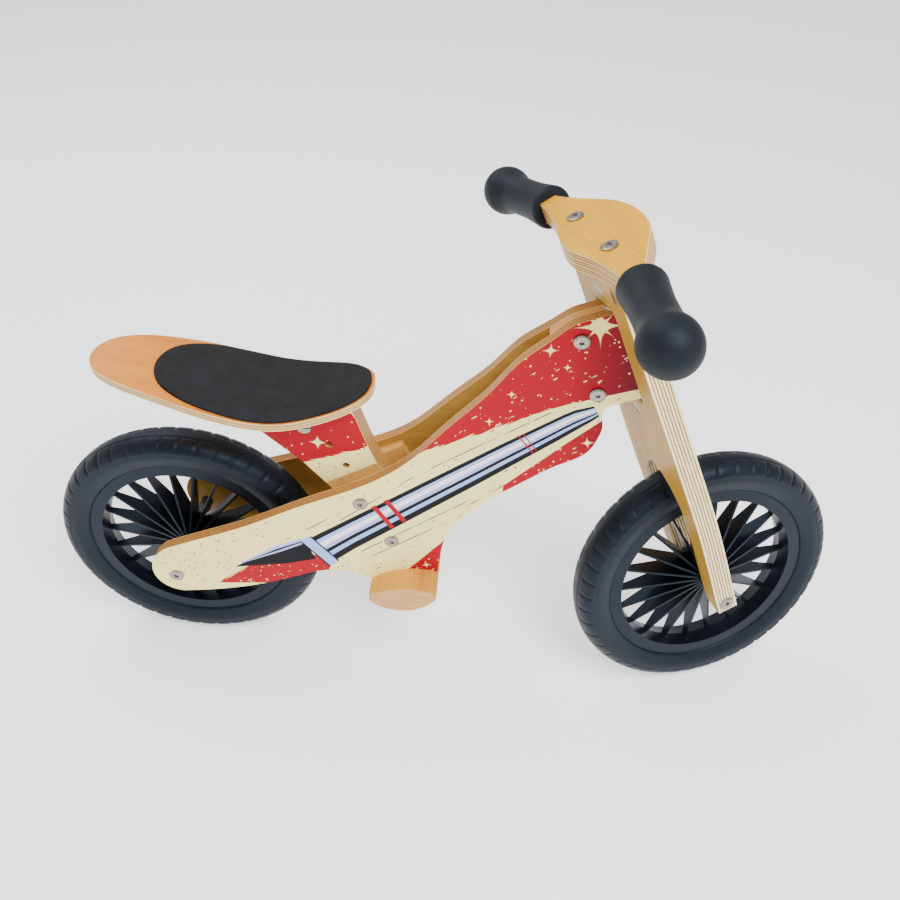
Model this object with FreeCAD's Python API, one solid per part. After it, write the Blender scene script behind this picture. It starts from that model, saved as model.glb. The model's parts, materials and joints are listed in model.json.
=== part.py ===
"""Wooden balance bike: two birch ply side panels, a leaning seat post, a ply fork plate
that turns in a window around the head, a ply handlebar and two foam-tyred wheels.

Millimetres.  +X forward, +Y to the rider's left, +Z up.  The origin is the point where
the rear tyre meets the ground.  The front end is drawn turned 20 degrees to the left.
"""
import FreeCAD, Part
import math
import os

V = FreeCAD.Vector

# ---- wheels -------------------------------------------------------------------------
TYRE_R = 145.0          # outer radius of the foam tyre
TYRE_HALF_W = 20.8
RIM_R = 111.0           # outer edge of the rim flanges
RIM_OPEN_R = 98.0       # edge of the rim's side opening
RIM_BARREL_R = 95.0     # inside of the rim barrel at its middle
RIM_HALF_W = 14.5
RIM_WALL = 3.0
HUB_R = 9.5
HUB_HALF_L = 24.0
SPOKES = 22
SPOKE_T = 2.4
AXLE_R = 4.0
BUSH_R = 6.5
RUNNING = 0.06          # radial clearance of a turning bush on its pin
WHEELBASE = 561.0
AXLE_NUT_R = 5.5
SPACER_R = 7.0
AXLE_GAP = 0.8          # end play left at each side of the hub
REAR_SPACER_END = 51.0
LEG_OUT_AT_AXLE = 57.0
LEG_IN_AT_AXLE = 30.0

# ---- steering -----------------------------------------------------------------------
RAKE = 22.3             # degrees the steering axis leans back
STEER_REST = 20.0       # degrees turned left as drawn
FORK_T = 21.0           # thickness of the fork and handlebar ply
FORK_TOP = 408.0        # top of the fork plate, along the steering axis from the axle
FORK_BOTTOM = -14.0
WINDOW_HALF_W = 25.0
WINDOW_LOW = 253.0
WINDOW_HIGH = 361.0
HEAD_LOW = 257.0        # bottom and top of the frame's head, along the steering axis
HEAD_HIGH = 354.0
HEAD_NOSE = 9.0         # how far the head reaches in front of the steering axis
HEAD_BORE_R = 6.5
PIVOT_R = 4.0
PIVOT_HEAD_R = 6.5
PIVOT_HEAD_T = 5.0
PIVOT_NUT_R = 7.0
PIVOT_NUT_Z = (374.0, 238.0)
LOWER_HEAD_Z = 172.0    # seat of the lower pivot bolt's head, above the wheel arch
PIVOT_DEPTH = 40.0      # how far each pivot bolt enters the head
BUSH_DEPTH = 42.0

# ---- handlebar and grips -------------------------------------------------------------
BAR_BOLT_Y = 37.0
BAR_NUT_Z = 384.0
BAR_NUT_R = 7.0
STUB_END = 172.0        # the cut-down ends of the handlebar stop here inside the grips
GRIP_START = 96.0
GRIP_END_Y = 180.0
GRIP_X = (-2.5, -21.4)  # centre line at the collar and at the ball
BALL_R = 24.0

# ---- side panels --------------------------------------------------------------------
PANEL_T = 12.0
PANEL_REAR_Y = 63.6     # outer face of a panel at the rear axle
PANEL_TAPER = 0.1213    # sideways run per millimetre forward
HEAD_HALF_W = 16.0      # outer face of a panel along the head
PANEL_T_Y = PANEL_T * math.sqrt(1.0 + PANEL_TAPER ** 2)
SLAB_LOW = 90.0
SLAB_HIGH = 500.0

# ---- seat ---------------------------------------------------------------------------
SEAT_PROFILE = [(-68, 386), (-3, 377.3), (57, 363), (117, 352.3), (177, 361.5), (214, 371)]
POST_HALF_T = 12.5
SEAT_NUT_R = 7.0
SEAT_T = 8.0
PAD_T = 3.5
POST_HOLE_R = 3.6
POST_BOLTS = [(197.0, 245.0), (228.0, 190.0)]
POST_SPARE_HOLES = [(163.0, 298.0), (179.5, 271.5), (212.5, 217.5)]
SEAT_NUT = (139.0, 317.0)
SEAT_SINK_Z = 346.6     # small end of the countersink under the seat bolt's head
SEAT_HEAD_Z = 347.9
SEAT_SCREWS = [(90.0, 355.9), (172.0, 360.2)]
HEAD_BOLTS = [(400.0, 441.0), (421.0, 383.0)]
FOOTREST_HALF_L = 63.0

# ---- furniture bolts ----------------------------------------------------------------
BOLT_R = 3.0
BOLT_HEAD_R = 7.5
BOLT_HEAD_T = 2.4
HEX_R = 2.6
HEX_DEPTH = 2.9
SLEEVE_R = 4.4
FIT = 0.1               # play of a bolt in its hole


# ---- small helpers ------------------------------------------------------------------
def wire_of(edges):
    return Part.Wire(Part.__sortEdges__(edges))


def line(a, b):
    return Part.LineSegment(a, b).toShape()


def arc(a, m, b):
    return Part.Arc(a, m, b).toShape()


def curve(points, start=None, end=None):
    spline = Part.BSplineCurve()
    if start is not None:
        spline.interpolate(points, InitialTangent=start, FinalTangent=end)
    else:
        spline.interpolate(points)
    return spline.toShape()


def prism(edges, direction):
    return Part.Face(wire_of(edges)).extrude(direction)


def polygon_prism(points, direction):
    closed = list(points) + [points[0]]
    return Part.Face(Part.makePolygon(closed)).extrude(direction)


def rod(radius, start, end):
    axis = end - start
    return Part.makeCylinder(radius, axis.Length, start, axis)


def tube(outer, inner, start, end):
    return rod(outer, start, end).cut(rod(inner, start, end))


def mirrored(shape):
    return shape.mirror(V(0, 0, 0), V(0, 1, 0))


def group(shapes):
    return Part.Compound(shapes)


def save(name, shape):
    shape.exportStep("parts/" + name + ".step")


def to_front(shape):
    """Carry a shape from the fork's own frame (origin at the axle, z up the steering
    axis, x forward) to its place on the bike, turned to the rest steering angle."""
    moved = shape.copy()
    moved.rotate(V(0, 0, 0), V(0, 0, 1), STEER_REST)
    moved.rotate(V(0, 0, 0), V(0, 1, 0), -RAKE)
    moved.translate(V(WHEELBASE, 0, TYRE_R))
    return moved


def head_point(x, z, y=0.0):
    """A point given in the fork's frame at zero steering, in bike coordinates."""
    rake = math.radians(RAKE)
    return V(WHEELBASE + x * math.cos(rake) - z * math.sin(rake), y,
             TYRE_R + x * math.sin(rake) + z * math.cos(rake))


def hex_prism(radius, base, axis):
    points = []
    side = axis.cross(V(0.3, 0.2, 0.9)).normalize()
    other = axis.cross(side).normalize()
    for k in range(6):
        a = math.radians(60 * k)
        points.append(base + side * (radius * math.cos(a)) + other * (radius * math.sin(a)))
    return polygon_prism(points, axis)


def flat_head(centre, out):
    """Flat furniture-bolt head with a bevelled rim and a hex socket; centre is on the
    seat face and out is the unit vector that the head faces."""
    bevel = 0.8
    head = rod(BOLT_HEAD_R, centre, centre + out * (BOLT_HEAD_T - bevel))
    cone = Part.makeCone(BOLT_HEAD_R, BOLT_HEAD_R - 1.6, bevel,
                         centre + out * (BOLT_HEAD_T - bevel), out)
    socket = hex_prism(HEX_R, centre + out * (BOLT_HEAD_T - HEX_DEPTH), out * (HEX_DEPTH + 1))
    return head.fuse(cone).cut(socket).removeSplitter()


def connector_bolt(head_at, out, length):
    """Flat-headed bolt; the shank runs from head_at against out for length."""
    shank = rod(BOLT_R, head_at + out * 0.3, head_at - out * length)
    return flat_head(head_at, out).fuse(shank)


def sleeve_nut(head_at, out, length):
    """Flat-headed sleeve nut, blind tube that takes the end of a connector bolt."""
    sleeve = rod(SLEEVE_R, head_at + out * 0.3, head_at - out * length)
    bore = rod(BOLT_R + 0.05, head_at - out * 1.6, head_at - out * (length + 1.0))
    return flat_head(head_at, out).fuse(sleeve).cut(bore)


# ---- side panels --------------------------------------------------------------------
def outer_y(x):
    return max(PANEL_REAR_Y - PANEL_TAPER * x, HEAD_HALF_W)


def inner_y(x):
    return max(PANEL_REAR_Y - PANEL_T_Y - PANEL_TAPER * x, HEAD_HALF_W - PANEL_T)


def panel_outline():
    """Side view of a panel, drawn on the plane y = 0."""
    top = [(2, 188.5), (31, 199), (74, 214), (137, 243), (205, 272), (247, 302),
           (285, 344.5), (321, 384), (348, 419.5), (376, 444), (396, 460)]
    top = [V(x, 0, z) for x, z in top]
    head_rear = head_point(-30, HEAD_HIGH)
    top.append(head_rear)
    nose_top = head_point(HEAD_NOSE - 6, HEAD_HIGH)
    nose_mid_top = head_point(HEAD_NOSE - 1.8, HEAD_HIGH - 1.8)
    nose_high = head_point(HEAD_NOSE, HEAD_HIGH - 6)
    nose_low = head_point(HEAD_NOSE, HEAD_LOW + 6)
    nose_mid_low = head_point(HEAD_NOSE - 1.8, HEAD_LOW + 1.8)
    nose_bottom = head_point(HEAD_NOSE - 6, HEAD_LOW)
    chin = head_point(-32, HEAD_LOW)
    front = [chin, V(428, 0, 364), V(430, 0, 346), V(427.5, 0, 331), V(421, 0, 315),
             V(409, 0, 303), V(386, 0, 289.5), V(361, 0, 272.5), V(334, 0, 253.5),
             V(312, 0, 234.5), V(296, 0, 217), V(286.5, 0, 201), V(281, 0, 183),
             V(278, 0, 160), V(275.5, 0, 136)]
    lobe = [V(204, 0, 134), V(190, 0, 141.5), V(177, 0, 146), V(164, 0, 148.2),
            V(150, 0, 147), V(129, 0, 141), V(97, 0, 131), V(53, 0, 123), V(4, 0, 121)]
    edges = [curve(top),
             line(head_rear, nose_top),
             arc(nose_top, nose_mid_top, nose_high),
             line(nose_high, nose_low),
             arc(nose_low, nose_mid_low, nose_bottom),
             line(nose_bottom, chin),
             curve(front),
             line(V(275.5, 0, 136), V(204, 0, 134)),
             curve(lobe),
             arc(V(4, 0, 121), V(-23.5, 0, 153), V(2, 0, 188.5))]
    return edges


def footrest():
    """Lens-section bar that runs across under the panels."""
    y = V(0, -FOOTREST_HALF_L, 0)
    edges = [arc(V(205.5, 0, 134) + y, V(242, 0, 147.2) + y, V(277.5, 0, 141) + y),
             line(V(277.5, 0, 141) + y, V(277.5, 0, 133) + y),
             arc(V(277.5, 0, 133) + y, V(246, 0, 112) + y, V(205.5, 0, 124) + y),
             line(V(205.5, 0, 124) + y, V(205.5, 0, 134) + y)]
    bar = prism(edges, V(0, 2 * FOOTREST_HALF_L, 0))
    ends = [e for e in bar.Edges
            if abs(e.CenterOfMass.y) > FOOTREST_HALF_L - 0.01]
    return bar.makeChamfer(1.6, ends)


def footrest_screw_places():
    places = []
    for x in (226.0, 258.0):
        for side in (-1, 1):
            places.append((x, side * 0.5 * (outer_y(x) + inner_y(x))))
    return places


def footrest_screw(x, y):
    """Countersunk wood screw, from under the bar up into the panel's edge."""
    low = 113.6
    head = Part.makeCone(4.2, 2.0, 3.2, V(x, y, low), V(0, 0, 1))
    shank = rod(2.0, V(x, y, low + 3.2), V(x, y, 181.0))
    recess = Part.makeCone(1.9, 0.6, 1.8, V(x, y, low), V(0, 0, 1))
    return head.fuse(shank).cut(recess)


def panel_slab():
    """Plan of the right-hand panel, raised through the whole height of the bike."""
    rear = -40.0
    front = 500.0
    bend_out = (PANEL_REAR_Y - HEAD_HALF_W) / PANEL_TAPER
    bend_in = (PANEL_REAR_Y - PANEL_T_Y - HEAD_HALF_W + PANEL_T) / PANEL_TAPER
    plan = [V(rear, -(PANEL_REAR_Y - PANEL_TAPER * rear), SLAB_LOW),
            V(bend_out, -HEAD_HALF_W, SLAB_LOW),
            V(front, -HEAD_HALF_W, SLAB_LOW),
            V(front, -(HEAD_HALF_W - PANEL_T), SLAB_LOW),
            V(bend_in, -(HEAD_HALF_W - PANEL_T), SLAB_LOW),
            V(rear, -(PANEL_REAR_Y - PANEL_T_Y - PANEL_TAPER * rear), SLAB_LOW)]
    return polygon_prism(plan, V(0, 0, SLAB_HIGH - SLAB_LOW))


def bolt_seat_y(x):
    """Depth of the flat spot-face that a bolt head sits on."""
    return max(PANEL_REAR_Y - PANEL_TAPER * (x + BOLT_HEAD_R + 0.4), HEAD_HALF_W)


def head_bore():
    """Two blind bores for the pivot bushes, from the top and the bottom of the head."""
    top = rod(HEAD_BORE_R, head_point(0, HEAD_HIGH - BUSH_DEPTH), head_point(0, HEAD_HIGH + 5))
    bottom = rod(HEAD_BORE_R, head_point(0, HEAD_LOW - 5), head_point(0, HEAD_LOW + BUSH_DEPTH))
    return top.fuse(bottom)


def side_panel():
    """Right-hand panel with its bolt holes, spot-faces and footrest seat."""
    sheet = prism([e.translated(V(0, -90, 0)) for e in panel_outline()], V(0, 180, 0))
    panel = sheet.common(panel_slab())
    for x, z in POST_BOLTS + HEAD_BOLTS:
        panel = panel.cut(rod(SLEEVE_R + FIT, V(x, -90, z), V(x, 0, z)))
        seat = -bolt_seat_y(x)
        panel = panel.cut(rod(BOLT_HEAD_R + 0.3, V(x, seat, z), V(x, seat - 12, z)))
    panel = panel.cut(rod(AXLE_NUT_R + FIT, V(0, -90, TYRE_R), V(0, 0, TYRE_R)))
    seat = -bolt_seat_y(0)
    panel = panel.cut(rod(BOLT_HEAD_R + 0.3, V(0, seat, TYRE_R), V(0, seat - 12, TYRE_R)))
    panel = panel.cut(rod(SPACER_R + 0.3, V(0, -REAR_SPACER_END, TYRE_R), V(0, -30, TYRE_R)))
    panel = panel.cut(head_bore())
    panel = panel.cut(footrest())
    for x, y in footrest_screw_places():
        if y < 0:
            panel = panel.cut(rod(2.05, V(x, y, 120), V(x, y, 181.5)))
    return panel


def head_block():
    """Hardwood wedge that fills the narrow gap between the panels at the head."""
    sheet = prism([e.translated(V(0, -30, 0)) for e in panel_outline()], V(0, 60, 0))
    start = 372.0
    bend = (PANEL_REAR_Y - PANEL_T_Y - HEAD_HALF_W + PANEL_T) / PANEL_TAPER
    flat = HEAD_HALF_W - PANEL_T
    wide = inner_y(start)
    plan = [V(start, -wide, SLAB_LOW), V(bend, -flat, SLAB_LOW), V(500, -flat, SLAB_LOW),
            V(500, flat, SLAB_LOW), V(bend, flat, SLAB_LOW), V(start, wide, SLAB_LOW)]
    slab = polygon_prism(plan, V(0, 0, SLAB_HIGH - SLAB_LOW))
    lower_edge = head_point(-300, HEAD_LOW + 2), head_point(60, HEAD_LOW + 2)
    above = polygon_prism([V(lower_edge[0].x, -30, lower_edge[0].z),
                           V(lower_edge[1].x, -30, lower_edge[1].z),
                           V(lower_edge[1].x, -30, 520), V(lower_edge[0].x, -30, 520)],
                          V(0, 60, 0))
    block = sheet.common(slab).common(above)
    for x, z in HEAD_BOLTS:
        block = block.cut(rod(SLEEVE_R + FIT, V(x, -30, z), V(x, 30, z)))
    return block.cut(head_bore())


def cheek_block():
    """Right-hand wedge between the seat post and the panel."""
    side = [V(183, -60, 249), V(233, -60, 280), V(262, -60, 226), V(268, -60, 172),
            V(222, -60, 160)]
    sheet = polygon_prism(side, V(0, 60, 0))
    low = 150.0
    high = 300.0
    rear = 170.0
    front = 280.0
    plan = [V(rear, -POST_HALF_T, low), V(rear, -inner_y(rear), low),
            V(front, -inner_y(front), low), V(front, -POST_HALF_T, low)]
    block = sheet.common(polygon_prism(plan, V(0, 0, high - low)))
    for x, z in POST_BOLTS:
        block = block.cut(rod(SLEEVE_R + FIT, V(x, -60, z), V(x, 0, z)))
    return block


# ---- seat ---------------------------------------------------------------------------
def seat_curve(drop, y=0.0):
    return curve([V(x, y, z - drop) for x, z in SEAT_PROFILE])


def seat_ribbon(high, low, half_w):
    """Strip between two offsets of the seat's side profile."""
    first = SEAT_PROFILE[0]
    last = SEAT_PROFILE[-1]
    edges = [seat_curve(high, -half_w),
             line(V(last[0], -half_w, last[1] - high), V(last[0], -half_w, last[1] - low)),
             seat_curve(low, -half_w),
             line(V(first[0], -half_w, first[1] - low), V(first[0], -half_w, first[1] - high))]
    return prism(edges, V(0, 2 * half_w, 0))


def plan_prism(points):
    """Symmetric plan outline from its left half, rear tip to front tip."""
    left = [V(x, y, 250) for x, y in points]
    right = [V(x, -y, 250) for x, y in reversed(points[1:-1])]
    outline = Part.BSplineCurve()
    outline.interpolate(Points=left + right, PeriodicFlag=True)
    return prism([outline.toShape()], V(0, 0, 200))


def seat_board():
    plan = plan_prism([(-65.5, 0), (-64, 10), (-59.5, 20), (-47, 31.5), (-36, 37.3),
                       (-22, 42.3), (-8, 45.7), (10, 49.2), (30, 52.3), (55, 54.8),
                       (80, 55.3), (105, 54.3), (128, 51.8), (148, 48), (165, 44),
                       (180, 38.8), (192, 32.3), (201, 24.5), (207.5, 14.5), (210, 0)])
    board = seat_ribbon(0, SEAT_T, 70).common(plan)
    x, z = SEAT_NUT
    board = board.cut(rod(BOLT_R + FIT, V(x, 0, 300), V(x, 0, 420)))
    board = board.cut(Part.makeCone(2.0, 10.0, 8.0, V(x, 0, SEAT_SINK_Z), V(0, 0, 1)))
    for x, z in SEAT_SCREWS:
        board = board.cut(rod(2.05, V(x, 0, 300), V(x, 0, 420)))
        board = board.cut(Part.makeCone(1.0, 7.0, 6.0, V(x, 0, z - 4.9), V(0, 0, 1)))
    return board


def seat_pad():
    plan = plan_prism([(-3.2, 0), (-1, 14), (3.5, 24), (10, 32), (19, 38.8), (32, 45),
                       (45, 48.8), (58, 51), (83, 53), (105, 52.3), (125, 50.3),
                       (146, 46.3), (160, 42.8), (172, 39.3), (182, 35.3), (190.5, 30.3),
                       (198, 23.8), (203.8, 15.5), (206.6, 0)])
    return seat_ribbon(-PAD_T, 0, 70).common(plan)


def seat_screw(x, z):
    head = Part.makeCone(1.9, 4.0, 2.2, V(x, 0, z - 3.6), V(0, 0, 1))
    shank = rod(2.0, V(x, 0, z - 34.0), V(x, 0, z - 3.5))
    return head.fuse(shank)


def seat_bolt():
    """Countersunk bolt under the pad, down into the barrel nut in the post."""
    x, z = SEAT_NUT
    head = Part.makeCone(3.0, 6.2, 3.2, V(x, 0, SEAT_HEAD_Z), V(0, 0, 1))
    shank = rod(BOLT_R, V(x, 0, z - 8), V(x, 0, SEAT_HEAD_Z + 0.1))
    socket = hex_prism(2.2, V(x, 0, SEAT_HEAD_Z + 1.3), V(0, 0, 4))
    return head.fuse(shank).cut(socket)


def barrel_nut(centre, axis, length, thread_axis, radius, bore_r):
    """Cross dowel: short steel bar with a threaded cross hole and a driver slot."""
    start = centre - axis * (length / 2.0)
    body = rod(radius, start, centre + axis * (length / 2.0))
    body = body.cut(rod(bore_r, centre - thread_axis * 30, centre + thread_axis * 30))
    slot = Part.makeBox(2.0 * radius + 2.0, 1.4, 2.4, V(-radius - 1.0, -0.7, -1.2))
    slot.Placement = FreeCAD.Placement(start, FreeCAD.Rotation(V(0, 0, 1), axis))
    return body.cut(slot)


def seat_post():
    """Leaning plate between the panels, flared to carry the seat."""
    low = -POST_HALF_T
    outline = [V(40, low, 356), V(91, low, 313), V(136, low, 271), V(167, low, 233),
               V(217, low, 163), V(230, low, 158), V(256, low, 175), V(259, low, 187),
               V(212, low, 275), V(203, low, 298), V(181, low, 366)]
    post = polygon_prism(outline, V(0, 2 * POST_HALF_T, 0))
    first = SEAT_PROFILE[0]
    last = SEAT_PROFILE[-1]
    cap = [seat_curve(SEAT_T, -40),
           line(V(last[0], -40, last[1] - SEAT_T), V(last[0], -40, 480)),
           line(V(last[0], -40, 480), V(first[0], -40, 480)),
           line(V(first[0], -40, 480), V(first[0], -40, first[1] - SEAT_T))]
    post = post.cut(prism(cap, V(0, 80, 0)))
    for x, z in POST_BOLTS:
        post = post.cut(rod(SLEEVE_R + FIT, V(x, -30, z), V(x, 30, z)))
    for x, z in POST_SPARE_HOLES:
        post = post.cut(rod(POST_HOLE_R, V(x, -30, z), V(x, 30, z)))
    x, z = SEAT_NUT
    post = post.cut(rod(SEAT_NUT_R + FIT, V(x, -30, z), V(x, 30, z)))
    post = post.cut(rod(BOLT_R + FIT, V(x, 0, z - 9), V(x, 0, 400)))
    for x, z in SEAT_SCREWS:
        post = post.cut(rod(2.05, V(x, 0, z - 34.5), V(x, 0, 400)))
    return post


# ---- wheels -------------------------------------------------------------------------
def revolve_about_y(edges):
    """Turn a section drawn on the plane z = 0 (x is the radius) about the Y axis."""
    return Part.Face(wire_of(edges)).revolve(V(0, 0, 0), V(0, 1, 0), 360)


def tyre():
    """Solid foam ring whose foot fills the rim channel."""
    crown = [V(RIM_R + 0.6, RIM_HALF_W + 0.5, 0), V(118, 18.9, 0),
             V(127, TYRE_HALF_W, 0), V(136, 18.6, 0), V(142.2, 12.2, 0),
             V(TYRE_R, 0, 0), V(142.2, -12.2, 0), V(136, -18.6, 0),
             V(127, -TYRE_HALF_W, 0), V(118, -18.9, 0),
             V(RIM_R + 0.6, -RIM_HALF_W - 0.5, 0)]
    foot = RIM_HALF_W - RIM_WALL - 0.1
    base_r = RIM_OPEN_R + 0.1
    lip_r = RIM_R + 0.1
    side = RIM_HALF_W + 0.5
    path = [V(lip_r + 0.5, -side, 0), V(lip_r, -side, 0), V(lip_r, -foot, 0),
            V(base_r, -foot, 0), V(base_r, foot, 0), V(lip_r, foot, 0),
            V(lip_r, side, 0), V(lip_r + 0.5, side, 0)]
    edges = [curve(crown)]
    for a, b in zip(path[:-1], path[1:]):
        edges.append(line(a, b))
    return revolve_about_y(edges)


def rim_ring():
    """Channel-section rim with flat side flanges and a tapered barrel."""
    inside = RIM_HALF_W - RIM_WALL
    points = [V(RIM_OPEN_R, -RIM_HALF_W, 0), V(RIM_R, -RIM_HALF_W, 0), V(RIM_R, -inside, 0),
              V(RIM_OPEN_R, -inside, 0), V(RIM_OPEN_R, inside, 0), V(RIM_R, inside, 0),
              V(RIM_R, RIM_HALF_W, 0), V(RIM_OPEN_R, RIM_HALF_W, 0),
              V(RIM_BARREL_R, 0, 0), V(RIM_OPEN_R, -RIM_HALF_W, 0)]
    return Part.Face(Part.makePolygon(points)).revolve(V(0, 0, 0), V(0, 1, 0), 360)


def wheel_moulding():
    """Rim, hub and thin deep spoke blades in one plastic moulding."""
    hub = rod(HUB_R, V(0, -HUB_HALF_L, 0), V(0, HUB_HALF_L, 0))
    blade = [V(HUB_R - 2, -18, 0), V(53, -10.5, 0), V(RIM_BARREL_R + 1.5, -2.8, 0),
             V(RIM_BARREL_R + 1.5, 2.8, 0), V(53, 10.5, 0), V(HUB_R - 2, 18, 0)]
    spoke = polygon_prism([p + V(0, 0, -SPOKE_T / 2.0) for p in blade], V(0, 0, SPOKE_T))
    spokes = []
    for k in range(SPOKES):
        turned = spoke.copy()
        turned.rotate(V(0, 0, 0), V(0, 1, 0), 360.0 * k / SPOKES)
        spokes.append(turned)
    wheel = rim_ring().multiFuse([hub] + spokes)
    bore = rod(BUSH_R, V(0, -HUB_HALF_L - 5, 0), V(0, HUB_HALF_L + 5, 0))
    return wheel.cut(bore).removeSplitter()


def wheel_bushes():
    """Two plain bushes pressed into the hub ends."""
    bushes = []
    for side in (-1, 1):
        inner_end = V(0, side * (HUB_HALF_L - 12), 0)
        outer_end = V(0, side * (HUB_HALF_L + 0.4), 0)
        bushes.append(tube(BUSH_R, AXLE_R + RUNNING, inner_end, outer_end))
    return group(bushes)


# ---- axles --------------------------------------------------------------------------
def axle_bolt(half_span):
    """Headed axle; the head faces the rider's right."""
    out = V(0, -1, 0)
    shank = rod(AXLE_R, V(0, -half_span - 0.3, 0), V(0, half_span - 4.0, 0))
    return flat_head(V(0, -half_span, 0), out).fuse(shank)


def axle_nut(half_span, length):
    out = V(0, 1, 0)
    sleeve = rod(AXLE_NUT_R, V(0, half_span - length, 0), V(0, half_span + 0.3, 0))
    bore = rod(AXLE_R + 0.05, V(0, half_span - length - 1, 0), V(0, half_span - 2.0, 0))
    return flat_head(V(0, half_span, 0), out).fuse(sleeve).cut(bore)


def axle_spacers(end):
    spacers = []
    for side in (-1, 1):
        near = V(0, side * (HUB_HALF_L + 0.4 + AXLE_GAP / 2.0), 0)
        spacers.append(tube(SPACER_R, AXLE_R + 0.05, near, V(0, side * end, 0)))
    return group(spacers)


def at_rear(shape):
    return shape.translated(V(0, 0, TYRE_R))


# ---- front end ----------------------------------------------------------------------
def fork_outline(x):
    """Outer outline of the fork plate on the plane of constant x, from half widths."""
    halves = [(FORK_TOP, 57), (350, 59), (290, 61.5), (230, 65.5), (170, 69.5), (130, 70.5),
              (90, 68.5), (45, 63.5), (0, 57.5)]
    left = [V(x, w, z) for z, w in halves]
    right = [V(x, -w, z) for z, w in halves]
    edges = [curve(left), curve(right), line(V(x, 57, FORK_TOP), V(x, -57, FORK_TOP))]
    return edges


def fork_inner(x):
    """Arch and inner leg lines that straddle the wheel."""
    legs = [(110, 39.5), (60, 35.5), (20, 31), (0, 29.5)]
    left = [V(x, w, z) for z, w in legs]
    right = [V(x, -w, z) for z, w in legs]
    top = V(x, 0, 110 + 51.0)
    arch = [V(x, -39.5, 110), V(x, -34.5, 136), V(x, -19.5, 154.5), top,
            V(x, 19.5, 154.5), V(x, 34.5, 136), V(x, 39.5, 110)]
    return [curve(left), curve(right), curve(arch, V(0, 0, 1), V(0, 0, -1))]


def leg_end(x, side):
    """Squared foot of one leg, with rounded corners."""
    corner = 4.5
    outer = side * 57.2
    inner = side * 29.7
    near_out = outer - side * corner
    near_in = inner + side * corner
    soft = 0.293 * corner
    return [line(V(x, side * 57.5, 0), V(x, outer, FORK_BOTTOM + corner)),
            arc(V(x, outer, FORK_BOTTOM + corner),
                V(x, outer - side * soft, FORK_BOTTOM + soft), V(x, near_out, FORK_BOTTOM)),
            line(V(x, near_out, FORK_BOTTOM), V(x, near_in, FORK_BOTTOM)),
            arc(V(x, near_in, FORK_BOTTOM),
                V(x, inner + side * soft, FORK_BOTTOM + soft),
                V(x, inner, FORK_BOTTOM + corner)),
            line(V(x, inner, FORK_BOTTOM + corner), V(x, side * 29.5, 0))]


def fork_plate():
    """Ply plate with a wheel arch below and a window around the head."""
    x = -FORK_T / 2.0
    edges = fork_outline(x) + fork_inner(x) + leg_end(x, -1) + leg_end(x, 1)
    plate = prism(edges, V(FORK_T, 0, 0))
    corner = 5.0
    window = Part.makeBox(FORK_T + 20, 2 * WINDOW_HALF_W, WINDOW_HIGH - WINDOW_LOW,
                          V(x - 10, -WINDOW_HALF_W, WINDOW_LOW))
    upright = [e for e in window.Edges
               if abs(e.tangentAt(e.FirstParameter).x) > 0.9]
    window = window.makeFillet(corner, upright)
    plate = plate.cut(window)
    for side in (-1, 1):
        plate = plate.cut(rod(BOLT_R + FIT, V(0, side * BAR_BOLT_Y, BAR_NUT_Z - 12),
                              V(0, side * BAR_BOLT_Y, FORK_TOP + 5)))
        plate = plate.cut(rod(BAR_NUT_R + FIT, V(-20, side * BAR_BOLT_Y, BAR_NUT_Z),
                              V(20, side * BAR_BOLT_Y, BAR_NUT_Z)))
    for z in PIVOT_NUT_Z:
        plate = plate.cut(rod(PIVOT_NUT_R + FIT, V(-20, 0, z), V(20, 0, z)))
    plate = plate.cut(rod(PIVOT_R + FIT, V(0, 0, 150), V(0, 0, FORK_TOP + 5)))
    plate = plate.cut(rod(PIVOT_HEAD_R + 0.3, V(0, 0, FORK_TOP - PIVOT_HEAD_T - 0.2),
                          V(0, 0, FORK_TOP + 5)))
    plate = plate.cut(rod(PIVOT_HEAD_R + 0.3, V(0, 0, 140), V(0, 0, LOWER_HEAD_Z)))
    axle_hole = rod(AXLE_NUT_R + FIT, V(0, -90, 0), V(0, 90, 0))
    plate = plate.cut(axle_hole)
    for side in (-1, 1):
        flat = rod(BOLT_HEAD_R + 0.3, V(0, side * LEG_OUT_AT_AXLE, 0), V(0, side * 90, 0))
        plate = plate.cut(flat)
        seat = rod(SPACER_R + 0.3, V(0, side * LEG_IN_AT_AXLE, 0), V(0, side * 20, 0))
        plate = plate.cut(seat)
    return plate


def handlebar_plate():
    """Bow-shaped ply plate on top of the fork, its ends drawn out into the grips."""
    z = FORK_TOP
    front = [(44, 0), (42.5, 18), (37.5, 36), (28.5, 52), (17.5, 70), (8, 88), (4.0, 98)]
    rear = [(-27, 0), (-26, 13), (-21.5, 29), (-17.5, 46), (-15, 64), (-13.5, 82), (-14, 98)]
    stub_front = V(-9.5, STUB_END, z)
    stub_rear = V(-27.5, STUB_END, z)
    edges = []
    for pts in (front, rear):
        full = [V(x, -y, z) for x, y in reversed(pts[1:])] + [V(x, y, z) for x, y in pts]
        edges.append(curve(full))
    for side in (-1, 1):
        fs = V(front[-1][0], side * front[-1][1], z)
        rs = V(rear[-1][0], side * rear[-1][1], z)
        fe = V(stub_front.x, side * stub_front.y, z)
        re = V(stub_rear.x, side * stub_rear.y, z)
        edges.extend([line(fs, fe), line(fe, re), line(re, rs)])
    plate = prism(edges, V(0, 0, FORK_T))
    for side in (-1, 1):
        plate = plate.cut(rod(BOLT_R + FIT, V(0, side * BAR_BOLT_Y, z - 5),
                              V(0, side * BAR_BOLT_Y, z + FORK_T + 5)))
    return plate


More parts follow.
